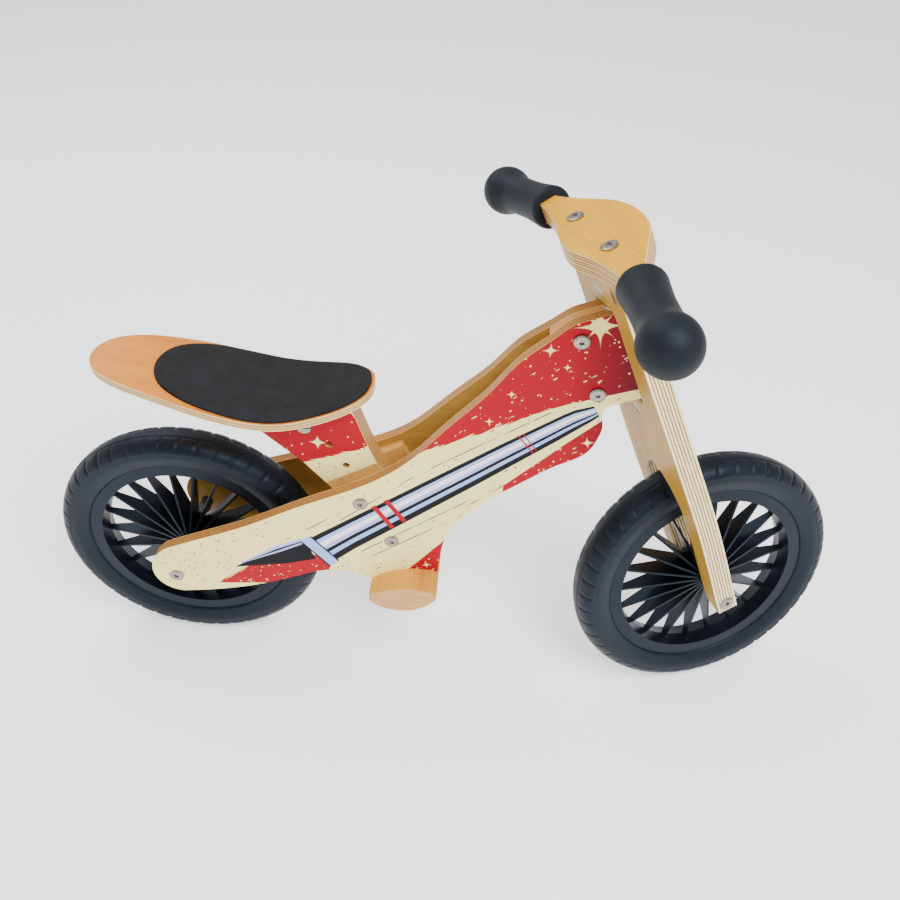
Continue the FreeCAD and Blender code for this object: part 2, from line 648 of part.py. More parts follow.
def grip():
    """Left rubber grip: collar, waisted barrel and ball end, with a slot for the stub."""
    mid_z = FORK_TOP + FORK_T / 2.0
    start = V(GRIP_X[0], GRIP_START, mid_z)
    ball = V(GRIP_X[1], GRIP_END_Y, mid_z)
    axis = (ball - start)
    length = axis.Length
    radii = [V(19.2, 0, 0), V(20.4, 2.2, 0), V(20.3, 8, 0), V(19.5, 17, 0), V(18.6, 28, 0),
             V(18.2, 42, 0), V(18.3, 56, 0), V(18.9, 64, 0), V(20.3, 70, 0),
             V(22.2, 76, 0), V(23.6, 81, 0), V(BALL_R, length, 0),
             V(21.6, length + 10.5, 0), V(15.2, length + 18.6, 0),
             V(7.6, length + 22.7, 0), V(0, length + BALL_R, 0)]
    edges = [curve(radii),
             line(V(0, length + BALL_R, 0), V(0, 0, 0)),
             line(V(0, 0, 0), radii[0])]
    body = Part.Face(wire_of(edges)).revolve(V(0, 0, 0), V(0, 1, 0), 360)
    body.Placement = FreeCAD.Placement(start, FreeCAD.Rotation(V(0, 1, 0), axis))
    return body.cut(handlebar_plate())


def pivot_bolt(head_z, tip_z, nut_z):
    """Long steel bolt on the steering axis whose plain end turns in the head bush."""
    up = 1.0 if head_z > tip_z else -1.0
    shank = rod(PIVOT_R, V(0, 0, head_z), V(0, 0, tip_z))
    head = rod(PIVOT_HEAD_R, V(0, 0, head_z), V(0, 0, head_z - up * PIVOT_HEAD_T))
    socket = hex_prism(2.9, V(0, 0, head_z - up * 3.0), V(0, 0, up * 4))
    return head.fuse(shank).cut(socket)


def head_bushes():
    """Flanged bushes in the top and bottom of the head, in bike coordinates."""
    flange = 2.6
    parts = []
    for end, sign in ((HEAD_HIGH, 1.0), (HEAD_LOW, -1.0)):
        sleeve = rod(HEAD_BORE_R - 0.02, head_point(0, end),
                     head_point(0, end - sign * BUSH_DEPTH))
        rimmed = rod(10.0, head_point(0, end), head_point(0, end + sign * flange))
        bore = rod(PIVOT_R + RUNNING, head_point(0, end + sign * 5),
                   head_point(0, end - sign * 50))
        parts.append(sleeve.fuse(rimmed).cut(bore))
    return group(parts)


def pivot_washer():
    """Steel washer under the window's top edge; it turns with the fork."""
    return tube(10.0, PIVOT_R + 0.05, V(0, 0, HEAD_HIGH + 3.2), V(0, 0, WINDOW_HIGH))


def bar_bolt(side):
    top = FORK_TOP + FORK_T
    return connector_bolt(V(0, side * BAR_BOLT_Y, top), V(0, 0, 1), top - BAR_NUT_Z + 9)


def build():
    os.makedirs("parts", exist_ok=True)
    right_out = V(0, -1, 0)
    left_out = V(0, 1, 0)

    panel = side_panel()
    save("right_side_panel", panel)
    save("left_side_panel", mirrored(panel))
    save("head_block", head_block())
    cheek = cheek_block()
    save("right_cheek_block", cheek)
    save("left_cheek_block", mirrored(cheek))
    bar = footrest()
    screws = []
    for x, y in footrest_screw_places():
        screw = footrest_screw(x, y)
        screws.append(screw)
        bar = bar.cut(rod(2.05, V(x, y, 100), V(x, y, 160)))
        bar = bar.cut(Part.makeCone(4.25, 2.05, 3.2, V(x, y, 113.6), V(0, 0, 1)))
        bar = bar.cut(rod(4.25, V(x, y, 105), V(x, y, 113.6)))
    save("footrest_bar", bar)
    save("footrest_screws", group(screws))

    save("seat_post", seat_post())
    save("seat_board", seat_board())
    save("seat_pad", seat_pad())
    save("seat_bolt", seat_bolt())
    x, z = SEAT_NUT
    save("seat_barrel_nut", barrel_nut(V(x, 0, z), V(0, 1, 0), 2 * POST_HALF_T - 0.6,
                                       V(0, 0, 1), SEAT_NUT_R, BOLT_R + 0.05))
    save("seat_screws", group([seat_screw(x, z) for x, z in SEAT_SCREWS]))

    for name, places in (("seat_post", POST_BOLTS), ("head", HEAD_BOLTS)):
        bolts = []
        nuts = []
        for x, z in places:
            seat = bolt_seat_y(x)
            nut_l = seat - 1.5
            bolts.append(connector_bolt(V(x, -seat, z), right_out, 2 * seat - 4.0))
            nuts.append(sleeve_nut(V(x, seat, z), left_out, nut_l))
        save(name + "_clamp_bolts", group(bolts))
        save(name + "_sleeve_nuts", group(nuts))

    save("head_bushes", head_bushes())

    rear_span = bolt_seat_y(0)
    save("rear_axle_bolt", at_rear(axle_bolt(rear_span)))
    save("rear_axle_nut", at_rear(axle_nut(rear_span, 11.0)))
    save("rear_axle_spacers", at_rear(axle_spacers(REAR_SPACER_END)))
    save("rear_tyre", at_rear(tyre()))
    wheel = wheel_moulding()
    save("rear_wheel_rim", at_rear(wheel))
    save("rear_wheel_bushes", at_rear(wheel_bushes()))

    save("fork_plate", to_front(fork_plate()))
    save("handlebar_plate", to_front(handlebar_plate()))
    left_grip = grip()
    save("left_grip", to_front(left_grip))
    save("right_grip", to_front(mirrored(left_grip)))
    save("handlebar_bolts", to_front(group([bar_bolt(-1), bar_bolt(1)])))
    nuts = []
    for side in (-1, 1):
        nuts.append(barrel_nut(V(0, side * BAR_BOLT_Y, BAR_NUT_Z), V(1, 0, 0), FORK_T - 1.0,
                               V(0, 0, 1), BAR_NUT_R, BOLT_R + 0.05))
    save("handlebar_barrel_nuts", to_front(group(nuts)))
    save("upper_pivot_bolt",
         to_front(pivot_bolt(FORK_TOP - 0.2, HEAD_HIGH - PIVOT_DEPTH, PIVOT_NUT_Z[0])))
    save("lower_pivot_bolt",
         to_front(pivot_bolt(LOWER_HEAD_Z - PIVOT_HEAD_T, HEAD_LOW + PIVOT_DEPTH,
                             PIVOT_NUT_Z[1])))
    pivots = []
    for z in PIVOT_NUT_Z:
        pivots.append(barrel_nut(V(0, 0, z), V(1, 0, 0), FORK_T - 1.0, V(0, 0, 1),
                                 PIVOT_NUT_R, PIVOT_R + 0.05))
    save("pivot_barrel_nuts", to_front(group(pivots)))
    save("upper_pivot_washer", to_front(pivot_washer()))
    save("front_axle_bolt", to_front(axle_bolt(LEG_OUT_AT_AXLE)))
    save("front_axle_nut", to_front(axle_nut(LEG_OUT_AT_AXLE, 24.0)))
    save("front_axle_spacers", to_front(axle_spacers(LEG_IN_AT_AXLE)))
    save("front_tyre", to_front(tyre()))
    save("front_wheel_rim", to_front(wheel))
    save("front_wheel_bushes", to_front(wheel_bushes()))


build()
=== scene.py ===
import json
import math

import bmesh
import bpy
from mathutils import Matrix, Vector

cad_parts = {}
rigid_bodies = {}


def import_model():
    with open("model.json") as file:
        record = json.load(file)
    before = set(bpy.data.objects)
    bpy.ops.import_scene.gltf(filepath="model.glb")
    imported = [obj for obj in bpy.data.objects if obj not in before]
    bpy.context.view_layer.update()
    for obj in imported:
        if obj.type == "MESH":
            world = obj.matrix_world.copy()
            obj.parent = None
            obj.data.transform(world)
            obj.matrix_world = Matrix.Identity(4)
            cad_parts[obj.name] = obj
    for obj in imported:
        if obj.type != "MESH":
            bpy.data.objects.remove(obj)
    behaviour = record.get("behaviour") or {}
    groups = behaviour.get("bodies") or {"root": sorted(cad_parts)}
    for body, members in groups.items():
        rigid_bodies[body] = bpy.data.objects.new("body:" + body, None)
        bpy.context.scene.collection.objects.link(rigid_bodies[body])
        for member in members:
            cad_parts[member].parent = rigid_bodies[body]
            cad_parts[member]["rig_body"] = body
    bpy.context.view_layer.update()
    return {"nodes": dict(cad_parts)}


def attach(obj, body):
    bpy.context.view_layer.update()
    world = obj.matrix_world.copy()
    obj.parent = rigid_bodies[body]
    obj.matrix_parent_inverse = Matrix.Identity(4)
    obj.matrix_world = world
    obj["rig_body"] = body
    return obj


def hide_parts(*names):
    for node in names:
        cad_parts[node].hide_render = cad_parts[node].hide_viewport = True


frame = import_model()


# ---- Side panels ---------------------------------------------------------------------
# Two sheets of 12 mm birch plywood, screen printed on the outside and lacquered.  They
# run from the rear axle to the steering head and are bolted through the seat post and
# through the block in the head.

def rgb(red, green, blue):
    """Colour for a socket from display values, 0 to 255."""
    linear = []
    for value in (red, green, blue):
        part = value / 255.0
        linear.append(part / 12.92 if part <= 0.04045 else ((part + 0.055) / 1.055) ** 2.4)
    return (linear[0], linear[1], linear[2], 1.0)


class Finish:
    """A surface finish, built up step by step.  Lengths are in millimetres in the
    bike's own frame, so the finish stays with its piece when the piece turns."""

    def __init__(self, name, roughness=0.5, **sockets):
        self.material = bpy.data.materials.new(name)
        self.material.use_nodes = True
        self.tree = self.material.node_tree
        self.shader = self.tree.nodes["Principled BSDF"]
        self.shader.inputs["Roughness"].default_value = roughness
        for socket, value in sockets.items():
            self.shader.inputs[socket.replace("_", " ")].default_value = value
        place = self.node("ShaderNodeTexCoord")
        self.facing = place.outputs["Normal"]
        scaled = self.node("ShaderNodeVectorMath", {0: place.outputs["Object"], 3: 1000.0},
                           operation="SCALE")
        self.mm = scaled.outputs["Vector"]

    def node(self, kind, inputs=None, **settings):
        made = self.tree.nodes.new(kind)
        for key, value in settings.items():
            setattr(made, key, value)
        for socket, value in (inputs or {}).items():
            if isinstance(value, bpy.types.NodeSocket):
                self.tree.links.new(value, made.inputs[socket])
            else:
                made.inputs[socket].default_value = value
        return made

    def math(self, operation, a, b=0.0, c=0.0, clamp=False):
        step = self.node("ShaderNodeMath", {0: a, 1: b, 2: c}, operation=operation,
                         use_clamp=clamp)
        return step.outputs["Value"]

    def mix(self, amount, under, over):
        blend = self.node("ShaderNodeMix", {0: amount, 6: under, 7: over}, data_type="RGBA")
        return blend.outputs[2]

    def ramp(self, amount, stops, steps=False):
        """Colours along 0 to 1; stops are (place, colour)."""
        made = self.node("ShaderNodeValToRGB", {0: amount})
        bar = made.color_ramp
        bar.interpolation = "CONSTANT" if steps else "LINEAR"
        bar.elements[0].position = stops[0][0]
        bar.elements[0].color = stops[0][1]
        bar.elements[1].position = stops[-1][0]
        bar.elements[1].color = stops[-1][1]
        for position, colour in stops[1:-1]:
            stop = bar.elements.new(position)
            stop.color = colour
        return made.outputs["Color"]

    def along(self, direction, vector=None):
        """Distance along a direction."""
        step = self.node("ShaderNodeVectorMath", {0: vector or self.mm, 1: direction},
                         operation="DOT_PRODUCT")
        return step.outputs["Value"]

    def stretched(self, axes, lengths):
        """Place measured along three axes, each divided by its own length."""
        parts = [self.along(Vector(a) / size) for a, size in zip(axes, lengths)]
        return self.node("ShaderNodeCombineXYZ", dict(enumerate(parts))).outputs["Vector"]

    def noise(self, place, detail=3.0, rough=0.55, scale=1.0):
        made = self.node("ShaderNodeTexNoise",
                         {"Vector": place, "Scale": scale, "Detail": detail,
                          "Roughness": rough})
        return made.outputs["Fac"]

    def soft_step(self, distance, width=0.4):
        """0 below zero, 1 above zero, over a short width."""
        return self.math("MULTIPLY_ADD", distance, 1.0 / width, 0.5, clamp=True)

    def over(self, value, least, width=0.4):
        """Mask: 1 where a value is more than the least."""
        return self.soft_step(self.math("SUBTRACT", value, least), width)

    def under(self, value, most, width=0.4):
        """Mask: 1 where a value is less than the most."""
        return self.soft_step(self.math("SUBTRACT", most, value), width)

    def turned_to(self, direction, least, width=0.04):
        """Mask: 1 where the surface faces along a direction, either way."""
        lean = self.math("ABSOLUTE", self.along(direction, self.facing))
        return self.over(lean, least, width)

    def all_of(self, *masks):
        joined = masks[0]
        for mask in masks[1:]:
            joined = self.math("MINIMUM", joined, mask)
        return joined

    def any_of(self, *masks):
        joined = masks[0]
        for mask in masks[1:]:
            joined = self.math("MAXIMUM", joined, mask)
        return joined

    def left_of(self, a, b):
        """Millimetres to the left of the line from a to b, both (x, z), front of the
        bike on the right."""
        run = math.dist(a, b)
        nx = -(b[1] - a[1]) / run
        nz = (b[0] - a[0]) / run
        return self.math("ADD", self.along((nx, 0.0, nz)), -(nx * a[0] + nz * a[1]))

    def star(self, cx, cz, reach, turn=0.0, waist=1.0, hollow=0.43):
        """Mask of a star with four hollow-sided points."""
        c = math.cos(math.radians(turn))
        s = math.sin(math.radians(turn))
        u = self.math("ADD", self.along((c, 0.0, s)), -(c * cx + s * cz))
        v = self.math("ADD", self.along((-s, 0.0, c)), s * cx - c * cz)
        gap = 1.0
        for place, length in ((u, reach), (v, reach * waist)):
            share = self.math("DIVIDE", self.math("ABSOLUTE", place), length)
            gap = self.math("SUBTRACT", gap, self.math("POWER", share, hollow))
        return self.soft_step(gap, 0.06)

    def scattered(self, place, scale, size, keep, width=0.05):
        """Mask of spots, one at most to a cell; keep is the share of cells with one."""
        cells = self.node("ShaderNodeTexVoronoi", {"Vector": place, "Scale": scale})
        spot = self.under(cells.outputs["Distance"], size, width)
        lot = self.node("ShaderNodeSeparateColor", {0: cells.outputs["Color"]})
        return self.all_of(spot, self.math("GREATER_THAN", keep, lot.outputs[0]))

    def specks(self, cell, size, keep):
        """Scattered round specks, in cells of a given size."""
        return self.scattered(self.mm, 1.0 / cell, size / cell, keep)

    def bump(self, height, distance, strength=1.0):
        made = self.node("ShaderNodeBump", {"Height": height, "Distance": distance,
                                            "Strength": strength})
        self.tree.links.new(made.outputs["Normal"], self.shader.inputs["Normal"])

    def colour(self, socket):
        self.tree.links.new(socket, self.shader.inputs["Base Color"])

    def link(self, value, socket):
        self.tree.links.new(value, self.shader.inputs[socket])


def veneer(finish, grain, across, through, pale, dark):
    """Colour of a sliced face: long fibres, slow bands and fine pores."""
    axes = (grain, across, through)
    bands = finish.noise(finish.stretched(axes, (320.0, 26.0, 60.0)), 3.0)
    fibres = finish.noise(finish.stretched(axes, (60.0, 1.5, 3.0)), 2.0)
    tone = finish.math("MULTIPLY_ADD", fibres, 0.45, finish.math("MULTIPLY", bands, 0.62))
    return finish.ramp(tone, [(0.34, dark), (0.66, pale)])


def plies(finish, depth, thickness, count, pale, dark, glue, along_edge, seam=0.38):
    """Colour of a plywood edge: layers whose grain turns about, with thin glue lines.
    depth is the distance into the sheet and seam is half the width of a glue line."""
    glue_half = seam / thickness
    stops = []
    for k in range(count):
        start = k / count
        tone = pale if k % 2 == 0 else dark
        if k:
            stops.append((start - glue_half, glue))
        stops.append((start + glue_half, tone))
    ripple = finish.noise(finish.stretched(along_edge, (30.0, 1.2, 1.2)), 2.0)
    wavy = finish.math("MULTIPLY_ADD", ripple, 0.03, finish.math("DIVIDE", depth, thickness))
    lines = finish.ramp(finish.math("SUBTRACT", wavy, 0.015), stops, steps=True)
    speckle = finish.noise(finish.stretched(along_edge, (3.0, 0.5, 0.5)), 2.0)
    shade = finish.math("MULTIPLY_ADD", speckle, 2.4, -0.95, clamp=True)
    return finish.mix(finish.math("MULTIPLY", shade, 0.35), lines, glue)


def eased(node, width, bores=(), segments=3):
    """Copy of a CAD node with its long edges rounded.  bores are (point, axis, reach):
    edges nearer to such an axis than its reach stay as they are."""
    mesh = frame["nodes"][node].data.copy()
    mesh.name = node + "_eased"
    work = bmesh.new()
    work.from_mesh(mesh)
    bmesh.ops.remove_doubles(work, verts=work.verts, dist=2e-5)
    bmesh.ops.dissolve_limit(work, angle_limit=math.radians(1.0), verts=work.verts,
                             edges=work.edges)
    chosen = []
    for edge in work.edges:
        if len(edge.link_faces) != 2 or edge.calc_face_angle(0.0) < math.radians(38):
            continue
        middle = (edge.verts[0].co + edge.verts[1].co) / 2.0
        clear = True
        for point, axis, reach in bores:
            away = middle - Vector(point)
            away -= Vector(axis) * away.dot(Vector(axis))
            if away.length < reach:
                clear = False
        if clear:
            chosen.append(edge)
    bmesh.ops.bevel(work, geom=chosen, offset=width, offset_type="OFFSET",
                    segments=segments, profile=0.5, affect="EDGES", clamp_overlap=True)
    work.to_mesh(mesh)
    work.free()
    for face in mesh.polygons:
        face.use_smooth = True
    mesh.set_sharp_from_angle(angle=math.radians(40))
    made = bpy.data.objects.new(node + "_eased", mesh)
    bpy.context.scene.collection.objects.link(made)
    level = made.modifiers.new("even", "WEIGHTED_NORMAL")
    level.keep_sharp = True
    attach(made, frame["nodes"][node]["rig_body"])
    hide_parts(node)
    return made


def dress(item, finish):
    item.data.materials.clear()
    item.data.materials.append(finish.material)


X_AXIS = (1.0, 0.0, 0.0)
Y_AXIS = (0.0, 1.0, 0.0)
Z_AXIS = (0.0, 0.0, 1.0)


def printed_face(finish):
    """The print: cream ground, a red field at the front, a tapering stripe band that
    rises from the axle to the head, stars, dashes and specks."""
    cream = rgb(255, 240, 158)
    red = rgb(166, 0, 26)
    deep_red = rgb(104, 2, 28)
    black = rgb(12, 12, 18)
    sky = rgb(150, 184, 240)
    lilac = rgb(172, 178, 234)
    white = rgb(250, 248, 238)
    x = finish.along(X_AXIS)
    z = finish.along(Z_AXIS)
    all_of, any_of, left_of = finish.all_of, finish.any_of, finish.left_of
    soft_step, specks, star = finish.soft_step, finish.specks, finish.star
    rise = math.radians(35.0)
    ray = (math.cos(rise), 0.0, math.sin(rise))
    cross = (-math.sin(rise), 0.0, math.cos(rise))
    streak = finish.noise(finish.stretched((ray, cross, Y_AXIS), (30.0, 1.9, 400.0)), 2.0)
    blot = finish.noise(finish.mm, 2.0, 0.6, 0.16)

    def over_line(points):
        """Millimetres above a line given by (x, z) points."""
        first, second = points[0], points[1]
        last, before = points[-1], points[-2]
        slope = (second[1] - first[1]) / (second[0] - first[0])
        end_slope = (last[1] - before[1]) / (last[0] - before[0])
        full = [(-60.0, first[1] - slope * (first[0] + 60.0))] + list(points)
        full.append((560.0, last[1] + end_slope * (560.0 - last[0])))
        unit = [((px + 60.0) / 620.0, (pz + 400.0) / 1200.0) for px, pz in full]
        made = finish.node("ShaderNodeFloatCurve",
                           {"Value": finish.math("MULTIPLY_ADD", x, 1 / 620.0, 60 / 620.0)})
        curve = made.mapping.curves[0]
        curve.points[0].location = unit[0]
        curve.points[1].location = unit[-1]
        for place in unit[1:-1]:
            curve.points.new(*place)
        for point in curve.points:
            point.handle_type = "VECTOR"
        made.mapping.update()
        height = finish.math("MULTIPLY_ADD", made.outputs["Value"], 1200.0, -400.0)
        return finish.math("SUBTRACT", z, height)

    def inside(points):
        """Mask of a convex shape whose corners run anticlockwise."""
        sides = [left_of(a, b) for a, b in zip(points, points[1:] + points[:1])]
        return all_of(*[soft_step(side) for side in sides])

    def dashes(length, width, size, keep):
        """Short strokes that lie along the band."""
        place = finish.stretched((ray, cross, Y_AXIS), (length, width, 400.0))
        return finish.scattered(place, 1.0, size, keep, 0.06)

    def stroke(a, b, half_width):
        """Mask of a straight line through a and b."""
        return finish.under(finish.math("ABSOLUTE", left_of(a, b)), half_width)

    patchy = finish.over(blot, 0.53, 0.04)
    band_top = [(150, 203), (217, 246), (257, 272), (334, 322), (402, 364), (425, 372)]
    band_low = [(150, 148), (189, 180), (237, 214), (307, 264), (391, 326), (418, 350),
                (425, 357)]
    under_top = finish.math("MULTIPLY", over_line(band_top), -1.0)
    over_low = over_line(band_low)
    share = finish.math("DIVIDE", over_low, finish.math("ADD", over_low, under_top))
    stripes = finish.ramp(share, [
        (0.0, black), (0.20, sky), (0.34, black), (0.45, lilac), (0.57, white),
        (0.72, sky), (0.83, black), (0.97, cream)], steps=True)

    picture = cream
    dark_bits = any_of(all_of(specks(5.0, 0.95, 0.30), patchy),
                       all_of(dashes(17.0, 3.6, 0.19, 0.34), patchy),
                       specks(9.0, 0.75, 0.16),
                       all_of(specks(4.2, 0.8, 0.30), finish.under(x, 66.0, 30.0)))
    ink = finish.mix(finish.math("MULTIPLY", blot, 0.6), black, deep_red)
    picture = finish.mix(dark_bits, picture, ink)

    # red fields: upper front, chin, toe of the lobe, and a patch near the axle
    wedge_line = over_line([(262, 314), (314, 335), (369, 360), (457, 392)])
    ragged = finish.math("MULTIPLY_ADD", streak, 14.0, -7.0)
    calm = finish.over(x, 350.0, 60.0)
    slight = finish.math("MULTIPLY", finish.math("SUBTRACT", 1.0, calm), ragged)
    wedge = all_of(soft_step(finish.math("ADD", wedge_line, slight)),
                   soft_step(left_of((240, 420), (265, 250))))
    chin_line = over_line([(355, 281), (383, 307), (412, 336), (430, 354)])
    chin = all_of(finish.under(chin_line, 0.0), finish.over(x, 340.0),
                  finish.under(z, 355.0))
    toe = all_of(soft_step(left_of((279, 186), (246, 148))), finish.over(x, 236.0),
                 finish.under(z, 230.0))
    torn = finish.math("ADD", left_of((104, 176), (56, 143)), ragged)
    fin = all_of(inside([(40, 132), (152, 128), (164, 157), (148, 172), (104, 176)]),
                 soft_step(torn))
    reds = any_of(wedge, chin, toe, fin)
    # The red darkens to deep red towards the head: painted shade on the front of the panel,
    # not part of the print.
    red_with_painted_shade = finish.mix(finish.over(x, 425.0, 60.0), red, deep_red)
    light_bits = any_of(all_of(specks(4.6, 1.0, 0.5), patchy),
                        all_of(dashes(15.0, 3.0, 0.22, 0.5), patchy))
    red_with_painted_shade = finish.mix(light_bits, red_with_painted_shade, cream)
    picture = finish.mix(reds, picture, red_with_painted_shade)

    # the stripe band and its squared-off tail
    in_band = all_of(soft_step(under_top), soft_step(over_low),
                     soft_step(left_of((136, 196), (166, 158))),
                     soft_step(left_of((436, 340), (410, 385))))
    picture = finish.mix(in_band, picture, stripes)
    for corners, tone in (
            ([(62, 156), (118, 160), (148, 166), (137, 196), (106, 184)], black),
            ([(68, 161), (112, 178), (136, 189), (134, 197), (104, 185)], lilac),
            ([(72, 163), (110, 180), (135, 191), (135, 193), (108, 182)], black)):
        picture = finish.mix(inside(corners), picture, tone)
    cuff = all_of(soft_step(left_of((133, 194), (160, 157))),
                  soft_step(left_of((170, 163), (144, 200))),
                  finish.over(under_top, -1.0), finish.over(over_low, -4.0))
    picture = finish.mix(cuff, picture, sky)

    # rings around the band, and the edges of its cuff
    rings = any_of(stroke((229, 210), (211, 240), 2.5), stroke((242, 218), (223, 249), 2.5),
                   stroke((369, 306), (352, 330), 0.8), stroke((372, 309), (356, 333), 0.6))
    ring = all_of(rings, soft_step(under_top), finish.over(over_low, 2.0))
    picture = finish.mix(ring, picture, red)
    cuff_edges = any_of(stroke((132, 195), (161, 156), 0.9),
                        stroke((144, 200), (171, 163), 0.9))
    cuff_edge = all_of(cuff_edges, soft_step(under_top), finish.over(over_low, -4.0))
    picture = finish.mix(cuff_edge, picture, black)

    # long broken rays in the cream, and the stars
    rays = []
    for a, b in (((196, 176), (330, 262)), ((206, 168), (300, 226)), ((300, 236), (392, 306)),
                 ((176, 222), (250, 280)), ((268, 292), (380, 360)), ((120, 196), (178, 234))):
        length = math.dist(a, b)
        run = ((b[0] - a[0]) / length, (b[1] - a[1]) / length)
        reach = finish.math("ADD", finish.along((run[0], 0.0, run[1])),
                            -(run[0] * a[0] + run[1] * a[1]))
        rays.append(all_of(stroke(a, b, 0.6), soft_step(reach), finish.under(reach, length),
                           finish.over(streak, 0.46, 0.03)))
    free = finish.math("SUBTRACT", 1.0, any_of(in_band, reds))
    picture = finish.mix(all_of(any_of(*rays), free), picture, black)
    stars = any_of(star(373, 431, 9.5), star(341, 382, 6.0), star(418, 324, 8.5, 10),
                   star(264, 153, 6.0, 12), star(390, 412, 5.5), star(322, 350, 6.0),
                   star(414, 458, 27.0, 8, 0.92), star(414, 458, 19.0, 53))
    return finish.mix(stars, picture, cream)


PANEL_THICK = 12.0
PANEL_HALF_AT_AXLE = 63.6    # outer faces to the middle of the bike, at the rear axle
PANEL_TAPER = 0.1213
HEAD_HALF = 16.0
PANEL_EDGE_ROUND = 0.0016
BOLT_PLACES = [(0.0, 0.145), (0.197, 0.245), (0.228, 0.190), (0.400, 0.441),
               (0.421, 0.383)]
BOLT_CLEAR = 0.0092          # edges this near a bolt's axis stay sharp
STEERING_LEAN = 22.3
WHEELBASE = 0.561
AXLE_HEIGHT = 0.145
HEAD_BORE_CLEAR = 0.0075

ply = Finish("printed birch ply", 0.42, Specular_IOR_Level=0.12)
half_width = ply.math("MAXIMUM", HEAD_HALF, ply.math(
    "MULTIPLY_ADD", ply.along(X_AXIS), -PANEL_TAPER, PANEL_HALF_AT_AXLE))
panel_depth = ply.math("SUBTRACT", half_width, ply.math("ABSOLUTE", ply.along(Y_AXIS)))
outside = ply.math("LESS_THAN", panel_depth, 3.0)
# Bare birch on the inner faces, darkened past the wood's own tone: painted shade between the
# panels.
shaded_bare_veneer = veneer(ply, X_AXIS, Z_AXIS, Y_AXIS, rgb(178, 136, 62), rgb(146, 106, 42))
panel_edge = plies(ply, panel_depth, PANEL_THICK, 7, rgb(218, 168, 94), rgb(184, 128, 62),
                   rgb(116, 68, 26), (X_AXIS, Y_AXIS, Z_AXIS))
face_colour = ply.mix(outside, shaded_bare_veneer, printed_face(ply))
ply.colour(ply.mix(ply.turned_to(Y_AXIS, 0.80), panel_edge, face_colour))
fibre_relief = ply.noise(ply.stretched((X_AXIS, Z_AXIS, Y_AXIS), (25.0, 1.0, 1.0)), 2.0)
ply.bump(fibre_relief, 0.00005, 0.5)
lean_angle = math.radians(STEERING_LEAN)
head_axis = Vector((-math.sin(lean_angle), 0.0, math.cos(lean_angle)))
panel_bores = [((WHEELBASE, 0.0, AXLE_HEIGHT), head_axis, HEAD_BORE_CLEAR)]
for bolt_x, bolt_z in BOLT_PLACES:
    panel_bores.append(((bolt_x, 0.0, bolt_z), Y_AXIS, BOLT_CLEAR))
for side in ("left", "right"):
    panel = eased(side + "_side_panel", PANEL_EDGE_ROUND, panel_bores)
    dress(panel, ply)


# ---- Cheek blocks and head block -----------------------------------------------------
# Beech wedges that pack the space between the panels and the seat post, and the narrow
# space in the steering head.  The bolts pull everything together.

beech = Finish("beech block", 0.55, Specular_IOR_Level=0.2)
beech.colour(veneer(beech, head_axis, Y_AXIS, X_AXIS, rgb(214, 160, 84), rgb(176, 122, 56)))
for name in ("left_cheek_block", "right_cheek_block", "head_block"):
    dress(frame["nodes"][name], beech)


# ---- Seat post -----------------------------------------------------------------------
# One leaning plate of 25 mm birch ply.  Its sides carry the same print where they show
# above the panels; the part between the panels is bare and has spare bolt holes.

POST_THICK = 25.0
POST_EDGE_ROUND = 0.0012
POST_HOLES = [(0.197, 0.245), (0.228, 0.190), (0.163, 0.298), (0.1795, 0.2715),
              (0.2125, 0.2175), (0.139, 0.317)]
SEAT_BOLT_X = [0.139, 0.090, 0.172]

post_ply = Finish("printed seat post", 0.42, Specular_IOR_Level=0.12)
post_red = rgb(166, 0, 26)
post_cream = rgb(255, 240, 158)
lean = (-0.47, 0.0, 0.88)
lean_across = (0.88, 0.0, 0.47)
post_bare = veneer(post_ply, lean, lean_across, Y_AXIS, rgb(218, 170, 92), rgb(188, 136, 62))
brush = post_ply.noise(post_ply.stretched((X_AXIS, Z_AXIS, Y_AXIS), (26.0, 1.7, 400.0)), 2.0)
frayed = post_ply.math("MULTIPLY_ADD", brush, 11.0, -5.5)
red_line = post_ply.left_of((136, 272), (203, 298))
red_above = post_ply.soft_step(post_ply.math("ADD", red_line, frayed))
cream_above = post_ply.soft_step(post_ply.left_of((161, 248), (212, 278)))
fleck = post_ply.specks(5.2, 0.884, 0.26)
sparkle = post_ply.any_of(*[post_ply.star(cx, cz, reach, hollow=0.5) for cx, cz, reach in (
    (152.0, 300.0, 10.0), (96.0, 334.0, 6.0), (190.0, 341.0, 8.0))])
post_print = post_ply.mix(fleck, post_cream, rgb(60, 30, 30))
red_print = post_ply.mix(post_ply.any_of(fleck, sparkle), post_red, post_cream)
post_print = post_ply.mix(red_above, post_print, red_print)
post_face = post_ply.mix(cream_above, post_bare, post_print)
post_depth = post_ply.math("ADD", post_ply.along(Y_AXIS), POST_THICK / 2.0)
post_edge = plies(post_ply, post_depth, POST_THICK, 11, rgb(224, 180, 108),
                  rgb(194, 142, 76), rgb(124, 76, 32), (lean, Y_AXIS, lean_across))
post_ply.colour(post_ply.mix(post_ply.turned_to(Y_AXIS, 0.80), post_edge, post_face))
post_bores = [((hole_x, 0.0, hole_z), Y_AXIS, 0.009) for hole_x, hole_z in POST_HOLES]
post_bores += [((hole_x, 0.0, 0.0), Z_AXIS, 0.006) for hole_x in SEAT_BOLT_X]
post = eased("seat_post", POST_EDGE_ROUND, post_bores)
dress(post, post_ply)


# ---- Footrest ------------------------------------------------------------------------
# A lens-shaped beech bar across the underside of the panels, held by four wood screws.
# Its grain runs across the bike, so the ends show end grain.

FOOTREST_EDGE_ROUND = 0.0014
FOOTREST_SCREWS = [(0.226, 0.0302), (0.258, 0.0263)]     # each on both sides

